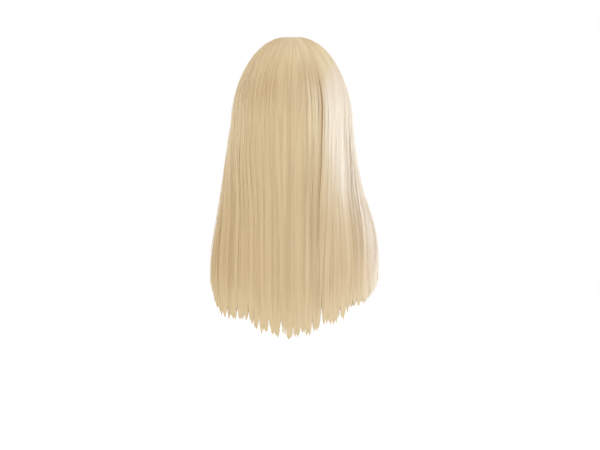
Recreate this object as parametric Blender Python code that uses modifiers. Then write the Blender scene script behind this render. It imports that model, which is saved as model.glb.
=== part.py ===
"""A long straight wig, modelled as it hangs when it is worn: a net cap, the elastic band
that binds the cap's rim, and six sections of hair that part on top and fall behind.

Frame: metres, +Z up. The origin is where the crown of a head bears, inside the top of the
cap. The face opening looks along -Y, so +Y is the back and +X is the wearer's left.
"""

import math
from collections import namedtuple

import bmesh
import bpy
from mathutils import Vector

COLLECTION = "wig"

# The cap's hollow, between its inner walls
CAP_BREADTH = 0.165
CAP_LENGTH = 0.206
CAP_HEIGHT = 0.126  # from the ear level up to the crown
CAP_WALL = 0.0018
CAP_SEGMENTS = 40
CAP_RINGS = 11

# The elastic band round the cap's rim
BAND_WIDTH = 0.012
BAND_WALL = 0.0024
BAND_GAP = 0.0003

# The parting, as angles up and over the head from the front horizon
PARTING_FRONT = 40.0
PARTING_CROWN = 92.0
PARTING_HALF_WIDTH = 0.0022
CROWN_RADIUS = 0.006
CROWN_SHARE = 0.30  # of the sweep to each side, whose hair grows round the crown

# The hair's plan. The sweep is in degrees, from the middle of the back to each front edge.
HAIR_SWEEP = 125.0
HEM_WRAP = 0.70  # how much of the sweep is left at the hem
HEM_HALF_BREADTH = 0.137
HEM_BACK = 0.116  # from the middle of the head to the outside of the hair at the back
HEM_DEPTH = 0.056  # from there forward to the hem's side edges
HAIR_FALL = 0.343  # from the ear level down to the longest tip

# How thick the hair lies
HAIR_SEAT_GAP = 0.0010  # off the cap, measured at the grid's own points
HAIR_LAYER = 0.0102
PARTING_ROOT_LAYER = 0.0050
CROWN_ROOT_LAYER = 0.0088
CROWN_EDGE = (0.40, 0.85)  # the shares of the sweep between which the crown's layer thins to the parting's
ROOT_RISE = 0.14  # as a share of the way from the root to the ears
EDGE_LAYER = 0.0038
EDGE_START = 0.80  # as a share of the sweep
TIP_LAYER = 0.0026
TIP_TAPER = 0.050
TIP_LIFT = 0.75  # how much of the thinning, below the ears, is on the inner side

# The crease at the back, where the right side is folded over the middle
RIDGE = 0.0065
RIDGE_WIDTH = 0.26  # as a share of the sweep
LAP = 0.0018
LAP_WIDTH = 0.12  # as a share of the sweep
FLAT = 0.0048  # how far the hair sinks on the right of the crease, so that it lies flat there
FOLD_GROWTH = 2.4  # how much stronger both are at FOLD_FULL than at the ears
FOLD_FULL = 0.30  # as a share of HAIR_FALL
FOLD_RISE = (0.34, 0.74)  # where it begins and is full, on the way from the root to the ears
CREASE_END = (0.40, 0.66)  # where it begins to fade and ends, as shares of HAIR_FALL

# The locks
SECTION_GAP = 0.0005
LOCK_GROOVE = 0.0016
SEAM_GROOVE = 0.0026
LOCK_NOTCH = 0.022
SEAM_NOTCH = 0.030
LOCK_JAG = 0.006
LOCK_PINCH = 0.45  # how far a lock's sides draw in to its middle at the tip
PINCH_START = 1.6  # on the way along a strand, which is 1 at the ears and 2 at the tip

# The grid of each section
DOME_ROWS = 10
FALL_ROWS = 9
STRANDS_PER_LOCK = 3

# How the hair hangs below the ears. drop is a share of HAIR_FALL, settle goes from the
# head's round plan (0) to the hem's shallow arc (1), each flare goes from the half breadth
# at the ears (0) to HEM_HALF_BREADTH (1), and layer is a share of HAIR_LAYER.
Level = namedtuple("Level", "drop settle flare_right flare_left layer")
LEVELS = (
    Level(0.00, 0.00, 0.00, 0.00, 1.00),
    Level(0.11, 0.16, 0.08, 0.14, 1.12),
    Level(0.22, 0.34, 0.22, 0.26, 1.24),
    Level(0.34, 0.58, 0.43, 0.39, 1.32),
    Level(0.45, 0.78, 0.77, 0.54, 1.30),
    Level(0.56, 0.90, 0.97, 0.70, 1.20),
    Level(0.65, 0.96, 1.01, 0.79, 1.08),
    Level(0.76, 1.00, 1.01, 0.81, 0.95),
    Level(0.88, 1.00, 0.98, 0.78, 0.82),
    Level(1.00, 1.00, 0.96, 0.74, 0.70),
)

# The cut of the hem. side is a share of the sweep, from the right front edge (-1) round the
# back to the left one (1), and drop is a share of HAIR_FALL.
Cut = namedtuple("Cut", "side drop")
HEM = (
    Cut(-1.00, 0.71),
    Cut(-0.86, 0.75),
    Cut(-0.74, 0.79),
    Cut(-0.60, 0.83),
    Cut(-0.40, 0.895),
    Cut(-0.22, 0.935),
    Cut(-0.08, 0.965),
    Cut(0.00, 0.980),
    Cut(0.08, 0.970),
    Cut(0.23, 0.945),
    Cut(0.41, 0.900),
    Cut(0.63, 0.885),
    Cut(0.75, 0.850),
    Cut(0.86, 0.785),
    Cut(1.00, 0.71),
)

# The lower edge of the band: azimuth in degrees from the middle of the back, elevation in
# degrees above the ear level. It dips at the nape and arches over the face.
Rim = namedtuple("Rim", "azimuth elevation")
RIM = (
    Rim(0.0, -22.0),
    Rim(30.0, -21.0),
    Rim(55.0, -11.0),
    Rim(72.0, 3.0),
    Rim(90.0, 6.0),
    Rim(106.0, 1.0),
    Rim(120.0, 10.0),
    Rim(134.0, 28.0),
    Rim(150.0, 39.0),
    Rim(180.0, 44.0),
)

# The sections of hair, by their shares of the sweep. lap is how far, in shares of LAP, the
# hair is lifted or pressed down at the crease.
Section = namedtuple("Section", "name start end locks lap")
SECTIONS = (
    Section("hair_front_right", -1.00, -0.64, 4, 0.0),
    Section("hair_side_right", -0.64, -0.215, 5, 0.5),
    Section("hair_back_centre", -0.215, 0.095, 5, -0.5),
    Section("hair_back_left", 0.095, 0.32, 3, 0.0),
    Section("hair_side_left", 0.32, 0.66, 5, 0.0),
    Section("hair_front_left", 0.66, 1.00, 4, 0.0),
)
CREASE = SECTIONS[1].end
FLAT_END = SECTIONS[1].start

# One line down a section's grid: groove is how deep it lies between two locks, pull is the
# way to its lock's middle, and notch is how far its tip stops short of the hem.
Strand = namedtuple("Strand", "side groove pull notch")

HAIR_SEAT = CAP_WALL + HAIR_SEAT_GAP
NUDGE = 0.01  # the step to a neighbouring point, in shares, by which slopes are found
GOLDEN = 0.6180339887


def clear_scene():
    for item in list(bpy.data.objects):
        bpy.data.objects.remove(item, do_unlink=True)


def make_material(name, colour, roughness):
    material = bpy.data.materials.new(name)
    material.use_nodes = True
    shader = material.node_tree.nodes["Principled BSDF"]
    shader.inputs["Base Color"].default_value = (*colour, 1.0)
    shader.inputs["Roughness"].default_value = roughness
    shader.inputs["Metallic"].default_value = 0.0
    material.diffuse_color = (*colour, 1.0)
    return material


def curve_through(rows, column, at):
    """A table's column at a place in its first column, on a smooth curve through the rows."""
    places = [row[0] for row in rows]
    values = [getattr(row, column) for row in rows]
    at = min(max(at, places[0]), places[-1])
    after = next(i for i in range(1, len(rows)) if at <= places[i])
    before = after - 1

    def slope(i):
        low, high = max(i - 1, 0), min(i + 1, len(rows) - 1)
        return (values[high] - values[low]) / (places[high] - places[low])

    width = places[after] - places[before]
    t = (at - places[before]) / width
    start, end = slope(before) * width, slope(after) * width
    rise = values[after] - values[before]
    curl = start + end - 2 * rise
    return values[before] + t * (start + t * (3 * rise - 2 * start - end + t * curl))


def smooth_step(low, high, at):
    t = min(max((at - low) / (high - low), 0.0), 1.0)
    return t * t * (3 - 2 * t)


def blend(first, second, share):
    return first + (second - first) * share


def varied(number):
    """A fixed value from 0 to 1 for each whole number, with neighbours far apart."""
    return math.modf((number + 1) * GOLDEN)[0]


def way(azimuth, elevation):
    """A unit direction, from an azimuth off the back and an elevation, both in degrees."""
    a, e = math.radians(azimuth), math.radians(elevation)
    return Vector((math.sin(a) * math.cos(e), math.cos(a) * math.cos(e), math.sin(e)))


def head_radii(grown):
    """The radii of the cap's inner ellipsoid, grown all round."""
    return Vector((CAP_BREADTH / 2 + grown, CAP_LENGTH / 2 + grown, CAP_HEIGHT + grown))


HEAD_MIDDLE = Vector((0.0, 0.0, -CAP_HEIGHT))


def on_head(direction, grown):
    """The point of the grown ellipsoid that a unit direction stands for."""
    return HEAD_MIDDLE + head_radii(grown) * direction


def bearing(point):
    """The unit direction that stands for a point of the hair's seat."""
    radii = head_radii(HAIR_SEAT)
    return Vector(o / r for o, r in zip(point - HEAD_MIDDLE, radii)).normalized()


def make_cap(material, collection):
    """The net cap: the upper rings of a sphere, drawn down to the band and thickened inwards."""
    shape = bmesh.new()
    rings = 2 * CAP_RINGS
    bmesh.ops.create_uvsphere(shape, u_segments=CAP_SEGMENTS, v_segments=rings, radius=1.0)
    lower = [vertex for vertex in shape.verts if ring_of(vertex, rings) > CAP_RINGS]
    bmesh.ops.delete(shape, geom=lower, context="VERTS")
    gap = math.degrees(BAND_GAP / CAP_HEIGHT)
    for vertex in shape.verts:
        azimuth = math.degrees(math.atan2(vertex.co.x, vertex.co.y))
        lowest = band_top(azimuth) + gap
        elevation = blend(90.0, lowest, ring_of(vertex, rings) / CAP_RINGS)
        vertex.co = on_head(way(azimuth, elevation), CAP_WALL)
    add_wall(shape, "cap", CAP_WALL, material, collection)


def ring_of(vertex, rings):
    """The number of a unit sphere's ring, from 0 at the top."""
    return round(math.acos(min(max(vertex.co.z, -1.0), 1.0)) / math.pi * rings)


def make_band(material, collection):
    """The elastic band: an open tube drawn to the rim's line and thickened inwards."""
    shape = bmesh.new()
    bmesh.ops.create_cone(
        shape, cap_ends=False, segments=CAP_SEGMENTS, radius1=1.0, radius2=1.0, depth=2.0
    )
    for vertex in shape.verts:
        azimuth = math.degrees(math.atan2(vertex.co.x, vertex.co.y))
        elevation = band_top(azimuth) if vertex.co.z > 0 else band_foot(azimuth)
        vertex.co = on_head(way(azimuth, elevation), CAP_WALL)
    add_wall(shape, "rim_band", BAND_WALL, material, collection)


def band_foot(azimuth):
    return curve_through(RIM, "elevation", abs(azimuth))


def band_top(azimuth):
    """The elevation of the band's upper edge, one band's width up the head from its foot."""
    mean_radius = (CAP_HEIGHT + CAP_LENGTH / 2) / 2
    return band_foot(azimuth) + math.degrees(BAND_WIDTH / mean_radius)


def add_wall(shape, name, wall, material, collection):
    """Turns an open surface's faces outwards and gives it a wall on its inner side."""
    bmesh.ops.recalc_face_normals(shape, faces=shape.faces)
    facing = sum(f.normal.dot(f.calc_center_median() - HEAD_MIDDLE) for f in shape.faces)
    if facing < 0:
        bmesh.ops.reverse_faces(shape, faces=shape.faces)
    item = finish(shape, name, material, collection)
    thicken = item.modifiers.new("wall", "SOLIDIFY")
    thicken.thickness = wall
    thicken.offset = -1.0


def root_point(side):
    """Where the hair of this share of the sweep grows: beside the parting, or round the crown."""
    beyond_crown = max(abs(side) - CROWN_SHARE, 0.0) / (1 - CROWN_SHARE)
    up = blend(PARTING_CROWN, PARTING_FRONT, beyond_crown)
    turn = math.copysign(math.pi / 2 * min(abs(side) / CROWN_SHARE, 1.0), side)
    reach = blend(CROWN_RADIUS, PARTING_HALF_WIDTH, smooth_step(0.0, 1.0, beyond_crown))
    beside = Vector((reach * math.sin(turn), CROWN_RADIUS * math.cos(turn), 0.0))
    return on_head(way(180.0, up), HAIR_SEAT) + beside


def nominal_layer(drop):
    return HAIR_LAYER * curve_through(LEVELS, "layer", drop)


def fall_point(side, drop):
    """The hair's inner side below the ears."""
    outer = head_radii(HAIR_SEAT + HAIR_LAYER)
    flare = HEM_HALF_BREADTH - outer.x
    right = outer.x + flare * curve_through(LEVELS, "flare_right", drop)
    left = outer.x + flare * curve_through(LEVELS, "flare_left", drop)
    settle = curve_through(LEVELS, "settle", drop)
    angle = math.radians(side * HAIR_SWEEP * blend(1.0, HEM_WRAP, settle))
    half = (left + right) / 2 + (left - right) / 2 * math.sin(angle)
    back = blend(outer.y, HEM_BACK, settle)
    depth = blend(outer.y, HEM_DEPTH, settle)
    layer = nominal_layer(drop)
    across = (half - layer) * math.sin(angle)
    along = back - depth + (depth - layer) * math.cos(angle)
    return Vector((across, along, -CAP_HEIGHT - drop * HAIR_FALL))


def dome_point(side, share):
    """The hair's inner side on the head, from the root (0) to the ear level (1). It leaves
    the root straight down the head and comes to the ears the way it hangs below them."""
    hang = fall_point(side, 0.0) - fall_point(side, NUDGE)
    above_ears = fall_point(side, 0.0) + hang / (NUDGE * HAIR_FALL) * CAP_HEIGHT * 0.42
    start = bearing(root_point(side))
    control = bearing(above_ears)
    end = bearing(fall_point(side, 0.0))
    first = start.slerp(control, share)
    second = control.slerp(end, share)
    return on_head(first.slerp(second, share), HAIR_SEAT)


def hair_point(side, along, hem_drop):
    """The hair's inner side. along is 0 at the root, 1 at the ears and 2 at the tip."""
    if along <= 1.0:
        return dome_point(side, along)
    return fall_point(side, (along - 1.0) * hem_drop)


def outward(side, along, hem_drop):
    """The way in which the hair stands off its inner side."""
    above = hair_point(side, max(along - NUDGE, 0.0), hem_drop)
    below = hair_point(side, along + NUDGE, hem_drop)
    to_right = hair_point(side - NUDGE, along, hem_drop)
    to_left = hair_point(side + NUDGE, along, hem_drop)
    return (above - below).cross(to_left - to_right).normalized()


def layers_at(section, strand, along, hem_drop):
    """How far the hair's inner and outer faces stand off its inner side."""
    drop = max(along - 1.0, 0.0) * hem_drop
    nominal = nominal_layer(drop)
    rooted = smooth_step(0.0, ROOT_RISE, along)
    inside = smooth_step(1.0, EDGE_START, abs(strand.side))
    above_tip = (2.0 - max(along, 1.0)) * hem_drop * HAIR_FALL
    full = smooth_step(0.0, TIP_TAPER, above_tip)
    layer = blend(EDGE_LAYER, nominal, inside)
    past_crown = smooth_step(*CROWN_EDGE, abs(strand.side))
    root_layer = blend(CROWN_ROOT_LAYER, PARTING_ROOT_LAYER, past_crown)
    layer = blend(root_layer, layer, rooted)
    layer = blend(TIP_LAYER, layer, full)
    inner = (nominal - layer) * TIP_LIFT * smooth_step(1.0, 1.4, along)
    from_crease = abs(strand.side - CREASE)
    folded = smooth_step(*FOLD_RISE, along) * (1 - smooth_step(*CREASE_END, drop))
    across_flat = min(max((CREASE - strand.side) / (CREASE - FLAT_END), 0.0), 1.0)
    fold = RIDGE * max(1 - from_crease / RIDGE_WIDTH, 0.0) - FLAT * math.sin(math.pi * across_flat)
    fold *= blend(1.0, FOLD_GROWTH, smooth_step(0.0, FOLD_FULL, drop))
    fold += LAP * section.lap * smooth_step(LAP_WIDTH, 0.0, from_crease)
    groove = strand.groove * rooted * inside * full
    return inner, inner + layer + fold * folded - groove


def lock_strands(section):
    """The lines of a section's grid: one in each groove, and more up each lock between them."""
    width = (section.end - section.start) / section.locks
    first = round((section.start + 1) / width)
    strands = []
    for lock in range(section.locks):
        start = section.start + lock * width
        strands.append(groove_strand(section, start, first + lock))
        for k in range(1, STRANDS_PER_LOCK):
            across = k / STRANDS_PER_LOCK
            jag = LOCK_JAG * (varied(STRANDS_PER_LOCK * (first + lock) + k) - 0.5)
            strands.append(Strand(start + width * across, 0.0, width * (0.5 - across), jag))
    strands.append(groove_strand(section, section.end, first + section.locks))
    return strands


def groove_strand(section, side, number):
    if abs(side) == 1.0:
        return Strand(side, 0.0, 0.0, 0.0)
    if side in (section.start, section.end):
        return Strand(side, SEAM_GROOVE, 0.0, SEAM_NOTCH)
    return Strand(side, LOCK_GROOVE, 0.0, LOCK_NOTCH * blend(0.35, 1.0, varied(number)))


def strand_point(section, strand, row, inward, face):
    """A point of a strand on the hair's inner (0) or outer (1) face. A section's first and
    last strands stand inward by half the gap to the next section."""
    if row <= DOME_ROWS:
        along = row / DOME_ROWS
    else:
        along = 1.0 + (row - DOME_ROWS) / FALL_ROWS
    hem_drop = curve_through(HEM, "drop", strand.side) - strand.notch / HAIR_FALL
    side = strand.side + strand.pull * LOCK_PINCH * smooth_step(PINCH_START, 2.0, along)
    point = hair_point(side, along, hem_drop)
    away = outward(side, along, hem_drop)
    if inward and abs(side) != 1.0:
        down = hair_point(side, along + NUDGE, hem_drop) - point
        point += inward * down.cross(away).normalized() * SECTION_GAP / 2
    return point + away * layers_at(section, strand, along, hem_drop)[face]


def make_section(section, material, collection):
    """A section of hair: a grid on its inner side, extruded by the depth of the hair."""
    strands = lock_strands(section)
    last = len(strands) - 1
    rows = DOME_ROWS + FALL_ROWS
    shape = bmesh.new()
    bmesh.ops.create_grid(shape, x_segments=last, y_segments=rows, size=1.0)
    strand_of = shape.verts.layers.int.new("strand")
    row_of = shape.verts.layers.int.new("row")
    for vertex in shape.verts:
        vertex[strand_of] = round((vertex.co.x + 1) / 2 * last)
        vertex[row_of] = round((1 - vertex.co.y) / 2 * rows)
    raised = bmesh.ops.extrude_face_region(shape, geom=shape.faces[:], use_keep_orig=True)
    outer = set(raised["geom"])
    for vertex in shape.verts:
        number = vertex[strand_of]
        inward = {0: 1, last: -1}.get(number, 0)
        face = 1 if vertex in outer else 0
        vertex.co = strand_point(section, strands[number], vertex[row_of], inward, face)
    bmesh.ops.recalc_face_normals(shape, faces=shape.faces)
    # Two facing walls are split along the same diagonals, so that they can't cross
    bmesh.ops.triangulate(shape, faces=shape.faces, quad_method="SHORT_EDGE")
    finish(shape, section.name, material, collection)


def finish(shape, name, material, collection):
    mesh = bpy.data.meshes.new(name)
    shape.to_mesh(mesh)
    shape.free()
    mesh.materials.append(material)
    mesh.shade_smooth()
    item = bpy.data.objects.new(name, mesh)
    collection.objects.link(item)
    return item


def main():
    clear_scene()
    collection = bpy.data.collections.new(COLLECTION)
    bpy.context.scene.collection.children.link(collection)
    net = make_material("cap_net", (0.62, 0.47, 0.30), 0.85)
    elastic = make_material("band_elastic", (0.66, 0.52, 0.36), 0.75)
    fibre = make_material("hair_fibre", (0.62, 0.46, 0.26), 0.38)
    make_cap(net, collection)
    make_band(elastic, collection)
    for section in SECTIONS:
        make_section(section, fibre, collection)


main()
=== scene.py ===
"""The looks of a long straight blonde wig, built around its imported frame.

The file is laid out as a Blender add-on and is run as a script. One operator makes the cap, one
its rim band, one the wefts' heads inside it, one the body of the hair, one the flat locks over it, one the loose strands and one
the stage. Metres, +Z up: the face looks along -Y, the hair hangs at +Y and the wearer's left is +X.
"""

import math
from collections import namedtuple

import bmesh
import bpy
import numpy as np
from bpy.props import FloatProperty, FloatVectorProperty, IntProperty, PointerProperty
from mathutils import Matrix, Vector


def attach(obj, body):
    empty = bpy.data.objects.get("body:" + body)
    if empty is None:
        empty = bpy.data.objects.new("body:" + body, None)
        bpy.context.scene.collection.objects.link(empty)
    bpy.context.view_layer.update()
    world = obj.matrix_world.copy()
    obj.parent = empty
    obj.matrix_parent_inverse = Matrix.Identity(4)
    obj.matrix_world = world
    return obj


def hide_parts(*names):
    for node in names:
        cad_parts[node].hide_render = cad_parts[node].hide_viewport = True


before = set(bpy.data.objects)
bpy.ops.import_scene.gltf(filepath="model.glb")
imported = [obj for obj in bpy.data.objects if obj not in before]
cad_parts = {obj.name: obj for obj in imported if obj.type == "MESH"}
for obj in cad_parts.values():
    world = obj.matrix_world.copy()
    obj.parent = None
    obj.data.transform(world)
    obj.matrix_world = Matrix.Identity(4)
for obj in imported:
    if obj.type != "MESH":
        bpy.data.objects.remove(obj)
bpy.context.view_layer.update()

bl_info = {
    "name": "Long Straight Wig",
    "version": (1, 0, 0),
    "blender": (4, 5, 0),
    "location": "View3D > Sidebar > Wig",
    "description": "Dresses the frame of a long straight wig with hair, a net cap and a studio",
    "category": "Object",
}

BODY = "root"
HAIR_SLOT = "hair_fibre"
NET_SLOT = "cap_net"
BAND_SLOT = "band_elastic"

# The cap and the way the hair grows on it, as the frame has them
CAP_BREADTH = 0.165
CAP_LENGTH = 0.206
CAP_HEIGHT = 0.126
CAP_WALL = 0.0018
BAND_WIDTH = 0.012
BAND_WALL = 0.0024
BAND_GAP = 0.0003
PARTING_FRONT = 40.0
PARTING_CROWN = 92.0
CROWN_SHARE = 0.30
HAIR_SWEEP = 125.0
HEM_WRAP = 0.70
HEM_HALF_BREADTH = 0.137
HEM_BACK = 0.116
HEM_DEPTH = 0.056
HAIR_FALL = 0.343
HAIR_SEAT = CAP_WALL + 0.0010
HAIR_LAYER = 0.0102
EDGE_LAYER = 0.0038
EDGE_START = 0.80
TIP_LAYER = 0.0026
TIP_TAPER = 0.050
TIP_LIFT = 0.75
RIDGE = 0.0065
RIDGE_WIDTH = 0.26
LAP = 0.0018
LAP_WIDTH = 0.12
CREASE_END = (0.46, 0.70)
CREASE = -0.215
FLAT_END = -0.64

# Finer than the frame's: the roots close in on the parting and the crown, and the fold at the
# crease starts lower down, so the crown stays round
PARTING_HALF_WIDTH = 0.0007
CROWN_RADIUS = 0.0012
SCALP_LAYER = 0.0008
CROWN_SCALP_LAYER = 0.0064
PARTING_OPENS = (0.28, 0.60)
ROOT_CURL = 0.030
PARTING_ROOT_LAYER = 0.0040
CROWN_ROOT_LAYER = 0.0088
CROWN_EDGE = (0.40, 0.85)
ROOT_RISE = 0.20
CROWN_SWELL = 0.0014
FOLD_RISE = (0.34, 0.74)
FLAT = 0.0048
FOLD_GROWTH = 1.6
FOLD_FULL = 0.30

# How the hair hangs below the ears: shares of HAIR_FALL, of the way from the head's round plan
# to the hem's shallow arc, of the way out to HEM_HALF_BREADTH, and of HAIR_LAYER
Level = namedtuple("Level", "drop settle flare_right flare_left layer")
LEVELS = (
    Level(0.00, 0.00, 0.00, 0.00, 1.00),
    Level(0.11, 0.16, 0.08, 0.14, 1.12),
    Level(0.22, 0.34, 0.22, 0.26, 1.24),
    Level(0.34, 0.58, 0.43, 0.39, 1.32),
    Level(0.45, 0.78, 0.77, 0.54, 1.30),
    Level(0.56, 0.90, 0.97, 0.70, 1.20),
    Level(0.65, 0.96, 1.01, 0.79, 1.08),
    Level(0.76, 1.00, 1.01, 0.81, 0.95),
    Level(0.88, 1.00, 0.98, 0.78, 0.82),
    Level(1.00, 1.00, 0.96, 0.74, 0.70),
)

# The cut of the hem: a share of the sweep, from the right front edge (-1) round the back to the
# left one (1), and a share of HAIR_FALL
Cut = namedtuple("Cut", "side drop")
HEM = (
    Cut(-1.00, 0.71),
    Cut(-0.86, 0.75),
    Cut(-0.74, 0.79),
    Cut(-0.60, 0.83),
    Cut(-0.40, 0.895),
    Cut(-0.22, 0.935),
    Cut(-0.08, 0.965),
    Cut(0.00, 0.980),
    Cut(0.08, 0.970),
    Cut(0.23, 0.945),
    Cut(0.41, 0.900),
    Cut(0.63, 0.885),
    Cut(0.75, 0.850),
    Cut(0.86, 0.785),
    Cut(1.00, 0.71),
)

# The lower edge of the rim band, in degrees from the middle of the back and above the ears
Rim = namedtuple("Rim", "azimuth elevation")
RIM = (
    Rim(0.0, -22.0),
    Rim(30.0, -21.0),
    Rim(55.0, -11.0),
    Rim(72.0, 3.0),
    Rim(90.0, 6.0),
    Rim(106.0, 1.0),
    Rim(120.0, 10.0),
    Rim(134.0, 28.0),
    Rim(150.0, 39.0),
    Rim(180.0, 44.0),
)

# The sections of the hair's body. nodes are the frame's solids that each stands for.
Section = namedtuple("Section", "name node start end")
SECTIONS = (
    Section("body_front_right", "hair_front_right", -1.00, -0.64),
    Section("body_side_right", "hair_side_right", -0.64, CREASE),
    Section("body_back_centre", "hair_back_centre", CREASE, 0.095),
    Section("body_back_left", "hair_back_left", 0.095, 0.32),
    Section("body_side_left", "hair_side_left", 0.32, 0.66),
    Section("body_front_left", "hair_front_left", 0.66, 1.00),
)

# The hem parts into tufts here, and this deep
Notch = namedtuple("Notch", "side depth")
DEEP_NOTCHES = (
    Notch(-0.57, 0.012),
    Notch(-0.40, 0.014),
    Notch(-0.238, 0.034),
    Notch(-0.075, 0.018),
    Notch(0.085, 0.030),
    Notch(0.185, 0.020),
    Notch(0.37, 0.012),
    Notch(0.485, 0.034),
    Notch(0.60, 0.014),
    Notch(0.74, 0.012),
)

# Strands that stand out from the rest: where, how far to each side, and by how much their tone
# differs. Along the crease, beside the right side's edge, the strands are darker as a painted
# shadow; the paler strand beside them and the paler lock further left are painted highlights.
Streak = namedtuple("Streak", "side spread tone")
PAINTED_CREASE_SHADE_AND_GLINTS = (
    Streak(CREASE + 0.008, 0.008, -0.13),
    Streak(CREASE + 0.046, 0.012, 0.20),
    Streak(-0.116, 0.006, 0.08),
)

# Painted shade and a painted halo along the hair: how far its colour goes towards its shade on the
# way down. Painted shade at the crown, a paler ring round the head left as a painted halo
# highlight, painted shade above the ears and again in the fall
PAINTED_SHADE_AND_HALO = (
    (0.00, 0.90),
    (2.00, 0.66),
    (0.20, 0.95),
    (0.36, 0.05),
    (0.45, 0.00),
    (0.57, 0.85),
    (0.74, 0.80),
    (0.92, 0.15),
    (1.15, 0.00),
    (1.50, 0.66),
)

HEAD_MIDDLE = np.array((0.0, 0.0, -CAP_HEIGHT))
NUDGE = 0.01
SIDE_METRES = 0.21  # roughly what one share of the sweep measures round the ears
OVERHANG = 0.006  # how far the right side reaches over the crease, as a share of the sweep
WANDER = 0.0018  # how far a strand sways from its own line, as a share of the sweep
TUFT_GAP = (0.0002, 0.0015)
DEEP_SLIT = 0.0014  # how far to each side of a deep notch the hair is cut short
WISPS = 190  # the narrow bundles round the hem, each cut to its own length
WISP_LENGTH = 0.0030
TUFT_LENGTH = (0.020, 0.060)
SURFACE_SHADING = 0.86  # the share of a strand's shading that it has from the surface it lies in


def linear(code):
    """The linear colour of an sRGB hex code, with alpha."""
    parts = [int(code[i:i + 2], 16) / 255 for i in (0, 2, 4)]
    return [c / 12.92 if c <= 0.04045 else ((c + 0.055) / 1.055) ** 2.4 for c in parts] + [1.0]


def colour_setting(name, description, code):
    return FloatVectorProperty(
        name=name, description=description, subtype="COLOR", size=4, min=0.0, max=1.0,
        default=linear(code),
    )


def length_setting(name, description, metres):
    return FloatProperty(
        name=name, description=description, default=metres, min=0.0, precision=5,
        subtype="DISTANCE", unit="LENGTH",
    )


class WigHairSettings(bpy.types.PropertyGroup):
    base: colour_setting("Base", "The fibre's own pale blonde", "D5BA85")
    shade: colour_setting("Shade", "The darker fibres in the mix", "C6A56D")
    light: colour_setting("Light", "The paler fibres in the mix", "DFC998")
    # Painted light: the tips' paler colour stands in for light coming through the thin tips
    painted_tip_light: colour_setting("Tips", "The last stretch above the hem", "DBC48F")
    lock_count: IntProperty(name="Locks", description="Flat locks over the body", default=560, min=1)
    strand_count: IntProperty(name="Strands", description="Loose strands", default=4000, min=1)
    stray_count: IntProperty(name="Strays", description="Strands that stand off", default=150, min=1)
    lock_width: length_setting("Lock width", "Across a flat lock", 0.0052)
    lock_thickness: length_setting("Lock thickness", "Through a flat lock", 0.0006)
    strand_width: length_setting("Strand width", "Across a loose strand", 0.00085)
    stray_width: length_setting("Stray width", "Across a strand that stands off", 0.00035)
    relief: length_setting("Relief", "How deep the hollows between locks are", 0.0003)
    seed: IntProperty(name="Seed", description="Draws the locks and strands", default=11, min=0)


class WigCapSettings(bpy.types.PropertyGroup):
    net: colour_setting("Net", "Knitted nylon net", "CDB896")
    # Painted shade: the darker colour of the net's cells and of the nips between a weft's stitches
    recess_shade: colour_setting("Holes", "The shade in the net's cells", "A38B69")
    weft: colour_setting("Wefts", "The sewn heads of the hair wefts", "DCC393")
    elastic: colour_setting("Elastic", "Woven elastic", "D2B994")
    thread: colour_setting("Thread", "The band's stitching", "E3D3B8")
    mesh_size: length_setting("Mesh size", "Across one cell of the net", 0.0028)
    weft_spacing: length_setting("Weft spacing", "From one weft to the next", 0.013)
    weft_height: length_setting("Weft height", "Across a weft's sewn head", 0.0042)
    stitch_length: length_setting("Stitch length", "From one stitch to the next", 0.0026)
    rib_spacing: length_setting("Rib spacing", "From one rib of the elastic to the next", 0.0011)


class WigStageSettings(bpy.types.PropertyGroup):
    camera_distance: length_setting("Camera distance", "From the head to the camera", 2.5)
    view_width: length_setting("View width", "What the picture takes in at the head", 0.96)
    view_shift: length_setting("View shift", "How far left of the picture's middle the head is", 0.0128)
    view_height: length_setting("View drop", "How far below the crown the camera looks", 0.288)
    floor_drop: length_setting("Floor drop", "From the crown down to the floor", 0.78)
    key_power: FloatProperty(name="Key", description="Softbox at the right", default=49.0, unit="POWER")
    rim_power: FloatProperty(name="Rim", description="Softbox at the left", default=4.5, unit="POWER")
    edge_power: FloatProperty(name="Edge", description="Softbox behind the key", default=12.0, unit="POWER")
    key: colour_setting("Key colour", "Daylight, cooler than the room", "B2CFFF")
    plain: colour_setting("Lamp colour", "The other softboxes", "FFFFFF")
    top_power: FloatProperty(name="Top", description="Softbox overhead", default=0.6, unit="POWER")
    fill_power: FloatProperty(name="Fill", description="Softbox by the camera", default=3.0, unit="POWER")
    sky: FloatProperty(name="Sky", description="White light from all round", default=1.0, min=0.0)


# The hair's form: the same surface as the frame's, worked out for whole arrays at once


def smooth_step(low, high, at):
    t = np.clip((at - low) / (high - low), 0.0, 1.0)
    return t * t * (3 - 2 * t)


def blend(first, second, share):
    return first + (second - first) * share


def curve_through(rows, column, at):
    """A table's column at places in its first column, on a smooth curve through the rows."""
    places = np.array([row[0] for row in rows], float)
    values = np.array([getattr(row, column) for row in rows], float)
    low = np.maximum(np.arange(len(rows)) - 1, 0)
    high = np.minimum(np.arange(len(rows)) + 1, len(rows) - 1)
    slopes = (values[high] - values[low]) / (places[high] - places[low])
    at = np.clip(at, places[0], places[-1])
    after = np.clip(np.searchsorted(places, at), 1, len(rows) - 1)
    before = after - 1
    width = places[after] - places[before]
    t = (at - places[before]) / width
    start, end = slopes[before] * width, slopes[after] * width
    rise = values[after] - values[before]
    curl = start + end - 2 * rise
    return values[before] + t * (start + t * (3 * rise - 2 * start - end + t * curl))


def unit(vectors):
    length = np.linalg.norm(vectors, axis=-1, keepdims=True)
    return vectors / np.maximum(length, 1e-12)


def slerp(first, second, share):
    angle = np.arccos(np.clip((first * second).sum(-1, keepdims=True), -1.0, 1.0))
    angle = np.maximum(angle, 1e-6)
    share = share[..., None]
    return (np.sin((1 - share) * angle) * first + np.sin(share * angle) * second) / np.sin(angle)


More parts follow.
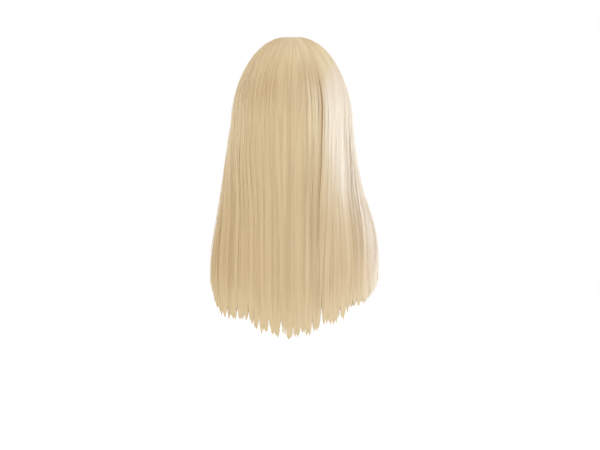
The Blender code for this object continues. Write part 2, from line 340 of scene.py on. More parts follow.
def way(azimuth, elevation):
    a, e = np.radians(azimuth), np.radians(elevation)
    return np.stack([np.sin(a) * np.cos(e), np.cos(a) * np.cos(e), np.sin(e) + 0 * a], -1)


def head_radii(grown):
    return np.array((CAP_BREADTH / 2, CAP_LENGTH / 2, CAP_HEIGHT)) + grown


def on_head(direction, grown):
    return HEAD_MIDDLE + head_radii(grown) * direction


def bearing(points):
    return unit((points - HEAD_MIDDLE) / head_radii(HAIR_SEAT))


def root_point(side):
    """Where the hair grows: beside the parting, or round the crown."""
    beyond_crown = np.maximum(np.abs(side) - CROWN_SHARE, 0.0) / (1 - CROWN_SHARE)
    up = blend(PARTING_CROWN, PARTING_FRONT, beyond_crown)
    turn = np.sign(side) * np.pi / 2 * np.minimum(np.abs(side) / CROWN_SHARE, 1.0)
    reach = blend(CROWN_RADIUS, PARTING_HALF_WIDTH, smooth_step(0.0, 1.0, beyond_crown))
    beside = np.stack([reach * np.sin(turn), CROWN_RADIUS * np.cos(turn), 0 * turn], -1)
    return on_head(way(180.0 + 0 * up, up), HAIR_SEAT) + beside


def nominal_layer(drop):
    return HAIR_LAYER * curve_through(LEVELS, "layer", drop)


def fall_point(side, drop):
    """The hair's inner side below the ears."""
    outer_x, outer_y, _ = head_radii(HAIR_SEAT + HAIR_LAYER)
    flare = HEM_HALF_BREADTH - outer_x
    right = outer_x + flare * curve_through(LEVELS, "flare_right", drop)
    left = outer_x + flare * curve_through(LEVELS, "flare_left", drop)
    settle = curve_through(LEVELS, "settle", drop)
    angle = np.radians(side * HAIR_SWEEP * blend(1.0, HEM_WRAP, settle))
    half = (left + right) / 2 + (left - right) / 2 * np.sin(angle)
    back = blend(outer_y, HEM_BACK, settle)
    depth = blend(outer_y, HEM_DEPTH, settle)
    layer = nominal_layer(drop)
    across = (half - layer) * np.sin(angle)
    along = back - depth + (depth - layer) * np.cos(angle)
    return np.stack([across, along, -CAP_HEIGHT - drop * HAIR_FALL + 0 * across], -1)


def dome_point(side, share):
    """The hair's inner side on the head, from the root (0) to the ear level (1)."""
    ears = fall_point(side, 0.0 * side)
    hang = ears - fall_point(side, 0.0 * side + NUDGE)
    control = bearing(ears + hang / (NUDGE * HAIR_FALL) * CAP_HEIGHT * 0.42)
    first = slerp(bearing(root_point(side)), control, share)
    second = slerp(control, bearing(ears), share)
    return on_head(slerp(unit(first), unit(second), share), HAIR_SEAT)


def hair_point(side, along, hem_drop):
    """The hair's inner side. along is 0 at the root, 1 at the ears and 2 at the tip."""
    dome = dome_point(side, np.clip(along, 0.0, 1.0))
    fall = fall_point(side, np.maximum(along - 1.0, 0.0) * hem_drop)
    return np.where((along <= 1.0)[..., None], dome, fall)


def outward(side, along, hem_drop):
    """The way in which the hair stands off its inner side."""
    above = hair_point(side, np.maximum(along - NUDGE, 0.0), hem_drop)
    below = hair_point(side, along + NUDGE, hem_drop)
    to_right = hair_point(side - NUDGE, along, hem_drop)
    to_left = hair_point(side + NUDGE, along, hem_drop)
    return unit(np.cross(above - below, to_left - to_right))


def lock_relief(side, along):
    """Soft hollows between the locks, from -1 to 1, that drift a little on their way down."""
    turn = 2 * np.pi
    return (
        0.45 * np.sin(turn * (side * 8.3 + 0.20 * along + 0.11))
        + 0.33 * np.sin(turn * (side * 17.1 - 0.25 * along + 0.63))
        + 0.22 * np.sin(turn * (side * 37.0 + 0.40 * along + 0.27))
    )


def lap_of(start):
    """The hair right of the crease lies over the hair left of it."""
    return np.where(start < CREASE, 0.5, -0.5)


def layers_at(side, along, hem_drop, relief, lap):
    """How far the hair's inner and outer faces stand off its inner side."""
    drop = np.maximum(along - 1.0, 0.0) * hem_drop
    nominal = nominal_layer(drop)
    rooted = smooth_step(0.0, ROOT_RISE, along)
    past_crown = smooth_step(*CROWN_EDGE, np.abs(side))
    root_layer = blend(CROWN_ROOT_LAYER, PARTING_ROOT_LAYER, past_crown)
    inside = smooth_step(1.0, EDGE_START, np.abs(side))
    full = smooth_step(0.0, TIP_TAPER, (2.0 - np.maximum(along, 1.0)) * hem_drop * HAIR_FALL)
    layer = blend(EDGE_LAYER, nominal, inside)
    swell = CROWN_SWELL * smooth_step(0.0, 0.14, along) * smooth_step(0.50, 0.20, along)
    layer = blend(root_layer, layer, rooted) + swell
    scalp_layer = blend(CROWN_SCALP_LAYER, SCALP_LAYER, smooth_step(*PARTING_OPENS, np.abs(side)))
    layer = blend(scalp_layer, layer, np.sqrt(smooth_step(0.0, ROOT_CURL, along)))
    layer = np.where(along < 1.0, layer, blend(TIP_LAYER, layer, full))
    inner = (nominal - layer) * TIP_LIFT * smooth_step(1.0, 1.4, along)
    from_crease = np.abs(side - CREASE)
    fold = RIDGE * np.maximum(1 - from_crease / RIDGE_WIDTH, 0.0)
    across_flat = np.clip((CREASE - side) / (CREASE - FLAT_END), 0.0, 1.0)
    fold = fold - FLAT * np.sin(np.pi * across_flat)
    fold = fold * blend(1.0, FOLD_GROWTH, smooth_step(0.0, FOLD_FULL, drop))
    fold = fold + LAP * lap * smooth_step(LAP_WIDTH, 0.0, from_crease)
    folded = smooth_step(*FOLD_RISE, along) * (1 - smooth_step(*CREASE_END, drop))
    rough = relief * lock_relief(side, along) * rooted * (0.35 + 0.65 * inside)
    return inner, inner + layer + fold * folded + rough


def hem_at(side):
    return curve_through(HEM, "drop", side)


# Meshes


def show(name, mesh, material, slot, *nodes):
    """Links a finished mesh, rides it on the wig and hides the frame's solids that it stands for."""
    mesh.materials.append(material)
    piece = bpy.data.objects.new(name, mesh)
    bpy.context.scene.collection.objects.link(piece)
    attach(piece, BODY)
    if nodes:
        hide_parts(*nodes)
    return piece


def add_loop_map(mesh, name, coordinates):
    """A UV map from one pair of numbers for each face corner."""
    layer = mesh.uv_layers.new(name=name)
    layer.data.foreach_set("uv", np.ascontiguousarray(coordinates, np.float32).ravel())


def add_value(mesh, name, values):
    layer = mesh.attributes.new(name, "FLOAT", "POINT")
    layer.data.foreach_set("value", np.ascontiguousarray(values, np.float32).ravel())


# A strand's section, as shares of its half width and its thickness, anticlockwise from the side
ROUND_PROFILE = ((1.0, 0.0), (0.0, 1.0), (-1.0, 0.0))
FLAT_PROFILE = ((1.0, 0.0), (0.5, 0.75), (-0.5, 0.75), (-1.0, 0.0), (0.0, -0.25))


def strand_mesh(name, lines, away, half_width, thickness, profile, tone, along):
    """One mesh of closed tubes that run along lines (strand, point, xyz)."""
    count, points, _ = lines.shape
    sides = len(profile)
    tangent = unit(np.gradient(lines, axis=1))
    across = unit(np.cross(tangent, away))
    lift = np.cross(across, tangent)
    ring = np.array(profile)
    spread = across[:, :, None, :] * (ring[:, 0][:, None] * half_width[:, :, None, None])
    raised = lift[:, :, None, :] * (ring[:, 1][:, None] * thickness[:, :, None, None])
    places = lines[:, :, None, :] + spread + raised

    number = np.arange(count * points * sides).reshape(count, points, sides)
    turned = np.roll(number, -1, axis=2)
    walls = np.stack([number[:, :-1], number[:, 1:], turned[:, 1:], turned[:, :-1]], -1)
    root_caps = number[:, 0, :]
    tip_caps = number[:, -1, ::-1]
    corners = np.concatenate([walls.ravel(), root_caps.ravel(), tip_caps.ravel()])
    sizes = np.concatenate([np.full(walls.size // 4, 4), np.full(2 * count, sides)])

    mesh = bpy.data.meshes.new(name)
    mesh.vertices.add(number.size)
    mesh.vertices.foreach_set("co", places.astype(np.float32).ravel())
    mesh.loops.add(len(corners))
    mesh.loops.foreach_set("vertex_index", corners.astype(np.int32))
    mesh.polygons.add(len(sizes))
    starts = np.concatenate([[0], np.cumsum(sizes)[:-1]])
    mesh.polygons.foreach_set("loop_start", starts.astype(np.int32))
    mesh.update(calc_edges=True)
    mesh.shade_smooth()
    mark_creases(mesh, points, sides, [sides - 1 - int(np.argmin(ring[::-1, 0])), 0])
    normals = soft_normals(ring, across, lift)
    layer = mesh.attributes.new("custom_normal", "FLOAT_VECTOR", "CORNER")
    layer.data.foreach_set("vector", normals.astype(np.float32).ravel())

    steps = np.linalg.norm(np.diff(lines, axis=1), axis=2)
    length = np.concatenate([np.zeros((count, 1)), np.cumsum(steps, axis=1)], 1)
    girth = 4 * half_width.mean(1)
    turn = np.arange(sides + 1) / sides
    around = np.broadcast_to(turn, (count, points, sides + 1))
    metres = np.stack([
        around * girth[:, None, None] + np.arange(count)[:, None, None] * 0.0173,
        np.broadcast_to(length[:, :, None], around.shape) + tone[:, None, None],
    ], -1)
    add_loop_map(mesh, "Strand", corner_values(metres, sides))
    add_loop_map(mesh, "OFBake", corner_values(packed_map(count, points, around), sides))
    add_value(mesh, "tone", np.broadcast_to(tone[:, None, None], number.shape))
    add_value(mesh, "along", np.broadcast_to(along[:, :, None], number.shape))
    return mesh


def mark_creases(mesh, points, sides, corners):
    """Marks sharp the two long edges between a strand's outer and inner faces, and its ends."""
    edges = np.empty(2 * len(mesh.edges), np.int32)
    mesh.edges.foreach_get("vertices", edges)
    first, second = edges.reshape(-1, 2).T
    lengthwise = (first % sides == second % sides) & np.isin(first % sides, corners)
    row = first // sides % points
    end = (first // sides == second // sides) & ((row == 0) | (row == points - 1))
    layer = mesh.attributes.new("sharp_edge", "BOOLEAN", "EDGE")
    layer.data.foreach_set("value", lengthwise | end)


def soft_normals(ring, across, lift):
    """A normal for each corner of strand_mesh's faces.

    A strand is thinner than light can tell apart, so it is shaded mostly as a part of the
    surface that it lies in, and only a little as a tube of its own.
    """
    sides = len(ring)
    following = np.roll(ring, -1, axis=0)
    outer = np.where(ring[:, 1] + following[:, 1] > 0, 1.0, -1.0)
    round_way = unit(np.stack([ring[:, 0], ring[:, 1] * 1.4 + 0.2 * outer], -1))
    next_way = unit(np.stack([following[:, 0], following[:, 1] * 1.4 + 0.2 * outer], -1))
    corners = []
    for rows, turned in ((slice(0, -1), 0), (slice(1, None), 0), (slice(1, None), 1), (slice(0, -1), 1)):
        way_out = next_way if turned else round_way
        sideways = across[:, rows, None, :] * way_out[:, :1] * (1 - SURFACE_SHADING)
        upward = way_out[:, 1:] * (1 - SURFACE_SHADING) + outer[:, None] * SURFACE_SHADING
        corners.append(unit(sideways + lift[:, rows, None, :] * upward))
    walls = np.stack(corners, 3)
    rootwards = np.cross(across, lift)
    root_caps = np.repeat(rootwards[:, 0, None], sides, axis=1)
    tip_caps = np.repeat(-rootwards[:, -1, None], sides, axis=1)
    return np.concatenate([part.reshape(-1, 3) for part in (walls, root_caps, tip_caps)])


def corner_values(values, sides):
    """Spreads (strand, point, turn, 2) over the corners of strand_mesh's faces."""
    walls = np.stack([
        values[:, :-1, :-1], values[:, 1:, :-1], values[:, 1:, 1:], values[:, :-1, 1:]
    ], 3)
    root_caps = values[:, 0, :sides]
    tip_caps = values[:, -1, :sides][:, ::-1]
    return np.concatenate([part.reshape(-1, 2) for part in (walls, root_caps, tip_caps)])


def packed_map(count, points, around):
    """Sets each strand upright in a cell of its own, in rows of tall cells."""
    rows = max(1, round(math.sqrt(count / 60)))
    columns = math.ceil(count / rows)
    strand = np.arange(count)
    column = (strand % columns)[:, None, None]
    row = (strand // columns)[:, None, None]
    up = np.linspace(0.0, 1.0, points)[None, :, None]
    return np.stack([
        (column + 0.08 + 0.84 * around) / columns,
        np.broadcast_to((row + 0.02 + 0.96 * up) / rows, around.shape),
    ], -1)


# Locks and strands


def smoothed_noise(draw, count, reach):
    """Random values that change slowly from one strand to the next, about -1 to 1."""
    raw = draw.standard_normal(count + 6 * reach)
    weights = np.exp(-0.5 * (np.arange(-3 * reach, 3 * reach + 1) / reach) ** 2)
    smooth = np.convolve(raw, weights / np.sqrt((weights ** 2).sum()), "valid")
    return smooth[:count]


def spread_sides(draw, count, low, high):
    """Sides in order, evenly spread with some play."""
    return low + (high - low) * (np.arange(count) + draw.random(count)) / count


def tufts_at(draw, side):
    """How far each strand leans in to its tuft's middle and from how far above the hem, and how
    much shorter the strand is for its place in the tuft."""
    edges = [-1.0]
    while edges[-1] < 1.0:
        wide = draw.random() < 0.45
        edges.append(edges[-1] + (draw.uniform(0.05, 0.10) if wide else draw.uniform(0.012, 0.035)))
    depths = draw.uniform(0.0, 0.010, len(edges))
    slits = draw.uniform(0.0010, 0.0028, len(edges))
    edges = np.array(edges)
    for notch in DEEP_NOTCHES:
        nearest = int(np.argmin(np.abs(edges - notch.side)))
        edges[nearest], depths[nearest], slits[nearest] = notch.side, notch.depth, DEEP_SLIT
    order = np.argsort(edges)
    edges, depths, slits = edges[order], depths[order], slits[order]
    tuft = np.clip(np.searchsorted(edges, side) - 1, 0, len(edges) - 2)
    middle = (edges[tuft] + edges[tuft + 1]) / 2
    half = (edges[tuft + 1] - edges[tuft]) / 2
    off = np.clip((side - middle) / half, -1.0, 1.0)
    nearer = np.where(off < 0, tuft, tuft + 1)
    from_edge = (1.0 - np.abs(off)) * half * SIDE_METRES
    cut = depths[nearer] * np.exp(-from_edge / slits[nearer])
    lengths = draw.uniform(-0.002, 0.004, len(edges))[tuft]
    wisp = ((side + 1) / 2 * WISPS).astype(int)
    shorter = np.maximum(draw.normal(0.0, WISP_LENGTH, WISPS + 1), -0.8 * WISP_LENGTH)[wisp]
    gap = draw.uniform(*TUFT_GAP, len(edges))[tuft]
    pinch = np.minimum(gap / (half * SIDE_METRES), 0.6)
    reach = draw.uniform(*TUFT_LENGTH, len(edges))[tuft]
    return (middle - side) * pinch, reach, cut + lengths + shorter


def keep_to_side(side, start):
    """Keeps hair on its own side of the crease, with the right side a little over it."""
    over = CREASE + OVERHANG
    return np.where(start < CREASE, np.minimum(side, over), np.maximum(side, CREASE + 0.002))


def lay_lines(settings, draw, start, depth, rows, drift, shorten, lift=0.0):
    """The lines of a set of strands, with the way out, their places along and their hems.

    start and depth have one value a strand: its side, and its share of the hair's thickness.
    """
    along = np.broadcast_to(rows, (len(start), len(rows)))
    end = np.clip(start + drift, -1.0, 1.0)
    lean, reach, cut = tufts_at(np.random.default_rng(settings.seed), end)
    hem_drop = (hem_at(end) - (cut + shorten) / HAIR_FALL)[:, None]
    drifted = start[:, None] + drift[:, None] * smooth_step(0.5, 1.8, along)
    phase = draw.uniform(0.0, 2 * np.pi, (len(start), 1))
    pace = draw.uniform(1.5, 3.5, (len(start), 1))
    free = smooth_step(0.1, 0.8, along) * smooth_step(2.0, 1.7, along)
    drifted = drifted + WANDER * np.sin(pace * along + phase) * free
    from_tip = (2.0 - along) * hem_drop * HAIR_FALL
    side = drifted + lean[:, None] * smooth_step(reach[:, None], 0.0, from_tip)
    side = np.clip(keep_to_side(side, start[:, None]), -1.0, 1.0)
    lap = lap_of(start)[:, None]
    inner, outer = layers_at(side, along, hem_drop, settings.relief, lap)
    points = hair_point(side, along, hem_drop)
    away = outward(side, along, hem_drop)
    stand = inner + (outer - inner) * depth[:, None] + lift
    return points + away * stand[..., None], away, along, hem_drop


def taper(along, hem_drop, root_metres, tip_metres, tip_share):
    """A strand's width, as a share, narrowing at the root and the tip."""
    from_root = along * 0.17
    from_tip = (2.0 - np.maximum(along, 1.0)) * hem_drop * HAIR_FALL
    thin_root = blend(0.45, 1.0, smooth_step(0.0, root_metres, from_root))
    thin_tip = blend(tip_share, 1.0, smooth_step(0.0, tip_metres, from_tip))
    return thin_root * np.where(along > 1.0, thin_tip, 1.0)


def rows_between(start, dome_count, fall_count):
    """Places along a strand, closer together at the root and at the tip."""
    dome = start + (1.0 - start) * np.linspace(0.0, 1.0, dome_count, endpoint=False)
    fall = 2.0 - np.linspace(1.0, 0.0, fall_count) ** 1.3
    return np.concatenate([dome, fall])


def rooted_rows(dome_count, fall_count):
    """Places along a strand that curls out of the scalp and then lies flat."""
    return np.concatenate([ROOT_ROWS, rows_between(ROOT_CURL, dome_count, fall_count)])


ROOT_ROWS = (0.0, ROOT_CURL * 0.12, ROOT_CURL * 0.45)
STRAND_ROWS = rooted_rows(16, 14)
LOCK_ROWS = rooted_rows(18, 18)
INSIDE_ROWS = rows_between(0.82, 2, 12)
HEM_ROWS = np.linspace(1.72, 2.0, 5)


def make_strands(name, settings, draw, low, high, count, depth_low, depth_high, rows):
    start = spread_sides(draw, count, low, high)
    depth = blend(depth_low, depth_high, draw.random(count) ** 0.6)
    drift = draw.normal(0.0, 0.006, count)
    shorten = np.abs(draw.normal(0.0, 0.0045, count)) - 0.003
    lines, away, along, hem_drop = lay_lines(settings, draw, start, depth, rows, drift, shorten)
    width = settings.strand_width / 2 * draw.uniform(0.65, 1.3, count)[:, None]
    width = width * taper(along, hem_drop, 0.010, 0.020, 0.28)
    tone = 0.5 + 0.06 * draw.standard_normal(count) + 0.03 * smoothed_noise(draw, count, 8)
    # Painted shadow along the crease and painted highlights on two paler strands
    for streak in PAINTED_CREASE_SHADE_AND_GLINTS:
        tone = tone + streak.tone * np.exp(-(((start - streak.side) / streak.spread) ** 2))
    mesh = strand_mesh(name, lines, away, width, width * 0.5, ROUND_PROFILE, tone, along)
    return show(name, mesh, hair_material(settings), HAIR_SLOT)


class WIG_OT_strands(bpy.types.Operator):
    """Lays loose strands over the locks and inside the fall, and a few that stand off."""

    bl_idname = "wig.strands"
    bl_label = "Loose strands"

    def execute(self, context):
        settings = context.scene.wig_hair
        draw = np.random.default_rng(settings.seed + 2)
        outer = settings.strand_count * 4 // 5
        spans = (
            ("strands_front_right", -0.995, -0.60),
            ("strands_side_right", -0.60, CREASE),
            ("strands_back", CREASE, 0.30),
            ("strands_side_left", 0.30, 0.62),
            ("strands_front_left", 0.62, 0.995),
        )
        for name, low, high in spans:
            count = round(outer * (high - low) / 2)
            make_strands(name, settings, draw, low, high, count, 0.92, 1.03, STRAND_ROWS)
        inner = settings.strand_count - outer
        make_strands("strands_inside", settings, draw, -0.99, 0.99, inner, -0.03, 0.06, INSIDE_ROWS)
        make_strands("strands_hem", settings, draw, -0.99, 0.99, inner, 0.10, 0.90, HEM_ROWS)
        self.make_strays(settings, draw)
        return {"FINISHED"}

    def make_strays(self, settings, draw):
        count = settings.stray_count
        start = spread_sides(draw, count, -0.98, 0.98)
        draw.shuffle(start)
        depth = np.full(count, 1.0)
        drift = draw.normal(0.0, 0.05, count)
        shorten = np.abs(draw.normal(0.0, 0.02, count))
        swell = smooth_step(0.1, 1.0, STRAND_ROWS)[None, :]
        lift = draw.uniform(0.0004, 0.0026, (count, 1)) * swell
        lines, away, along, hem_drop = lay_lines(
            settings, draw, start, depth, STRAND_ROWS, drift, shorten, lift
        )
        width = settings.stray_width / 2 * taper(along, hem_drop, 0.010, 0.040, 0.3)
        tone = draw.uniform(0.4, 0.9, count)
        mesh = strand_mesh("strands_stray", lines, away, width, width, ROUND_PROFILE, tone, along)
        show("strands_stray", mesh, hair_material(settings), HAIR_SLOT)


class WIG_OT_locks(bpy.types.Operator):
    """Lays flat locks over the body of the hair and inside its fall, each a thin lens across."""

    bl_idname = "wig.locks"
    bl_label = "Flat locks"

    def execute(self, context):
        settings = context.scene.wig_hair
        draw = np.random.default_rng(settings.seed + 1)
        outer = settings.lock_count * 3 // 4
        for name, low, high in (("locks_right", -0.985, CREASE), ("locks_left", CREASE, 0.985)):
            count = round(outer * (high - low) / 2)
            depth = draw.uniform(0.76, 0.87, count)
            self.make(name, settings, draw, low, high, depth, LOCK_ROWS, 1.0)
        inner = settings.lock_count - outer
        depth = draw.uniform(0.0, 0.10, inner)
        self.make("locks_inside", settings, draw, -0.985, 0.985, depth, INSIDE_ROWS, -1.0)
        return {"FINISHED"}

    def make(self, name, settings, draw, low, high, depth, rows, faces):
        """faces is 1 for locks whose round side is outwards and -1 for ones turned inwards."""
        count = len(depth)
        start = spread_sides(draw, count, low, high)
        drift = draw.normal(0.0, 0.010, count)
        shorten = np.abs(draw.normal(0.0, 0.004, count)) + 0.001
        lines, away, along, hem_drop = lay_lines(settings, draw, start, depth, rows, drift, shorten)
        width = settings.lock_width / 2 * draw.uniform(0.55, 1.35, count)[:, None]
        width = width * taper(along, hem_drop, 0.030, 0.030, 0.4)
        tall = np.minimum(settings.lock_thickness, width * 0.5)
        tone = 0.5 + 0.05 * draw.standard_normal(count) + 0.04 * smoothed_noise(draw, count, 3)
        mesh = strand_mesh(name, lines, away * faces, width, tall, FLAT_PROFILE, tone, along)
        show(name, mesh, hair_material(settings), HAIR_SLOT)


class WIG_OT_body(bpy.types.Operator):
    """Makes the body of the hair: six closed shells in the frame's form, with fine ridges."""

    bl_idname = "wig.body"
    bl_label = "Hair body"

    ROWS = 64
    COLUMN_METRES = 0.0022
    NEAR_ROOT = 0.12
    HEM_INSET = 0.038
    EDGE_INSET = 0.016
    INNER_SHARE = 0.10
    OUTER_SHARE = 0.70

    def execute(self, context):
        settings = context.scene.wig_hair
        for section in SECTIONS:
            self.make(section, settings)
        return {"FINISHED"}

    def make(self, section, settings):
        columns = round((section.end - section.start) * SIDE_METRES / self.COLUMN_METRES)
        shape = bmesh.new()
        bmesh.ops.create_grid(shape, x_segments=columns, y_segments=self.ROWS, size=1.0)
        raised = bmesh.ops.extrude_face_region(shape, geom=shape.faces[:], use_keep_orig=True)
        outer = set(raised["geom"])
        shape.verts.index_update()
        flat = np.array([v.co[:2] for v in shape.verts])
        is_outer = np.array([v in outer for v in shape.verts])
        side = section.start + (section.end - section.start) * (flat[:, 0] + 1) / 2
        along = 1.0 - flat[:, 1]
        along = np.where(along < self.NEAR_ROOT, along * along / self.NEAR_ROOT, along)
        near_edge = smooth_step(0.84, 0.97, np.abs(side))
        hem_drop = hem_at(side) - blend(self.HEM_INSET, self.EDGE_INSET, near_edge) / HAIR_FALL
        lap = lap_of(np.full(len(side), section.start))
        low, high = layers_at(side, along, hem_drop, settings.relief, lap)
        ridges = 0.00025 * np.sin(side * SIDE_METRES / 0.0031 * 2 * np.pi) * smooth_step(0, 0.2, along)
        share = np.where(is_outer, self.OUTER_SHARE, self.INNER_SHARE)
        stand = low + (high - low) * share + np.where(is_outer, ridges, 0.0)
        places = hair_point(side, along, hem_drop)
        places = places + outward(side, along, hem_drop) * stand[:, None]
        for vertex, place in zip(shape.verts, places):
            vertex.co = place
        bmesh.ops.recalc_face_normals(shape, faces=shape.faces)
        mesh = bpy.data.meshes.new(section.name)
        shape.to_mesh(mesh)
        shape.free()
        mesh.shade_smooth()
        corners = np.empty(len(mesh.loops), np.int32)
        mesh.loops.foreach_get("vertex_index", corners)
        metres = np.stack([side * SIDE_METRES, along * HAIR_FALL / 2], -1)
        add_loop_map(mesh, "Strand", metres[corners])
        add_value(mesh, "tone", 0.42 + 0.05 * np.sin(side * 190.0) + 0.04 * np.sin(side * 71.0))
        add_value(mesh, "along", along)
        show(section.name, mesh, hair_material(settings), HAIR_SLOT, section.node)


# The cap


def rim_foot(azimuth):
    return curve_through(RIM, "elevation", np.abs(azimuth))


def rim_top(azimuth):
    """The elevation of the band's upper edge."""
    return rim_foot(azimuth) + math.degrees(BAND_WIDTH / ((CAP_HEIGHT + CAP_LENGTH / 2) / 2))


def wall_inwards(shape, name, wall, material, slot, *nodes):
    """Faces an open surface outwards, gives it a wall on its inner side and shows it."""
    middle = Vector(HEAD_MIDDLE)
    if sum(f.normal.dot(f.calc_center_median() - middle) for f in shape.faces) < 0:
        bmesh.ops.reverse_faces(shape, faces=shape.faces)
    mesh = bpy.data.meshes.new(name)
    shape.to_mesh(mesh)
    shape.free()
    mesh.shade_smooth()
    piece = show(name, mesh, material, slot, *nodes)
    thicken = piece.modifiers.new("wall", "SOLIDIFY")
    thicken.thickness = wall
    thicken.offset = -1.0
    return piece


class WIG_OT_cap(bpy.types.Operator):
    """Makes the net cap: the upper rings of a sphere drawn down to the band."""

    bl_idname = "wig.cap"
    bl_label = "Net cap"

    SEGMENTS = 96
    RINGS = 30

    def execute(self, context):
        shape = bmesh.new()
        rings = 2 * self.RINGS
        bmesh.ops.create_uvsphere(shape, u_segments=self.SEGMENTS, v_segments=rings, radius=1.0)
        ring_of = {v: round(math.acos(max(-1.0, min(1.0, v.co.z))) / math.pi * rings) for v in shape.verts}
        lower = [v for v, ring in ring_of.items() if ring > self.RINGS]
        bmesh.ops.delete(shape, geom=lower, context="VERTS")
        gap = math.degrees(BAND_GAP / CAP_HEIGHT)
        for vertex in shape.verts:
            azimuth = math.degrees(math.atan2(vertex.co.x, vertex.co.y))
            lowest = float(rim_top(azimuth)) + gap
            elevation = blend(90.0, lowest, ring_of[vertex] / self.RINGS)
            vertex.co = on_head(way(azimuth, elevation), CAP_WALL)
        bmesh.ops.recalc_face_normals(shape, faces=shape.faces)
        material = net_material(context.scene.wig_cap)
        wall_inwards(shape, "net_cap", CAP_WALL, material, NET_SLOT, "cap")
        return {"FINISHED"}


class WIG_OT_band(bpy.types.Operator):
    """Makes the elastic band that binds the cap's rim."""

    bl_idname = "wig.band"
    bl_label = "Rim band"

    SEGMENTS = 160

    def execute(self, context):
        shape = bmesh.new()
        bmesh.ops.create_cone(
            shape, cap_ends=False, segments=self.SEGMENTS, radius1=1.0, radius2=1.0, depth=2.0
        )
        bmesh.ops.subdivide_edges(
            shape, edges=[e for e in shape.edges if abs(e.verts[0].co.z - e.verts[1].co.z) > 1],
            cuts=3,
        )
        for vertex in shape.verts:
            azimuth = math.degrees(math.atan2(vertex.co.x, vertex.co.y))
            up = (vertex.co.z + 1) / 2
            elevation = blend(float(rim_foot(azimuth)), float(rim_top(azimuth)), up)
            vertex.co = on_head(way(azimuth, elevation), CAP_WALL)
        bmesh.ops.recalc_face_normals(shape, faces=shape.faces)
        material = elastic_material(context.scene.wig_cap)
        wall_inwards(shape, "rim_elastic", BAND_WALL, material, BAND_SLOT, "rim_band")
        return {"FINISHED"}


class WIG_OT_wefts(bpy.types.Operator):
    """Sews the heads of the wefts inside the cap: level strips, from one front edge to the other."""

    bl_idname = "wig.wefts"
    bl_label = "Wefts"

    SEGMENTS = 96
    LOWEST = -9.0
    HIGHEST = 78.0
    CLEARANCE = 2.5
    SUNK = 0.0003
    WALL = 0.0012

    def execute(self, context):
        settings = context.scene.wig_cap
        degree = (CAP_HEIGHT + CAP_LENGTH / 2) / 2 * math.pi / 180
        shape = bmesh.new()
        metres = shape.loops.layers.uv.new("Strip")
        for elevation in np.arange(self.LOWEST, self.HIGHEST, settings.weft_spacing / degree):
            self.add_strip(shape, metres, elevation, settings.weft_height / 2 / degree, degree)
        bmesh.ops.remove_doubles(shape, verts=shape.verts, dist=1e-6)
        material = weft_material(settings)
        wall_inwards(shape, "weft_heads", self.WALL, material, NET_SLOT)
        return {"FINISHED"}

    def add_strip(self, shape, metres, elevation, half_height, degree):
        azimuths = np.arange(0.0, 181.0)
        blocked = rim_top(azimuths) + self.CLEARANCE > elevation
        span = float(azimuths[np.argmax(blocked)]) if blocked.any() else 180.0
        strip = bmesh.ops.create_grid(shape, x_segments=self.SEGMENTS, y_segments=2, size=1.0)
        for vertex in strip["verts"]:
            across, up, _ = vertex.co
            for loop in vertex.link_loops:
                turned = across * span * math.cos(math.radians(elevation))
                loop[metres].uv = (turned * degree, up * half_height * degree)
            direction = way(across * span, elevation + up * half_height)
            vertex.co = on_head(direction, self.SUNK)


# Materials


def add_node(tree, kind, settings=None, **links):
    """Adds a node with its settings, and links or sets each named input."""
    node = tree.nodes.new(kind)
    for name, value in (settings or {}).items():
        setattr(node, name, value)
    for name, value in links.items():
        socket = node.inputs[int(name[1:])] if name[0] == "_" else node.inputs[name.replace("_", " ")]
        if isinstance(value, bpy.types.NodeSocket):
            tree.links.new(value, socket)
        else:
            socket.default_value = value
    return node


def new_material(name):
    """An empty material with its output node."""
    material = bpy.data.materials.new(name)
    material.use_nodes = True
    material.node_tree.nodes.clear()
    return material, material.node_tree


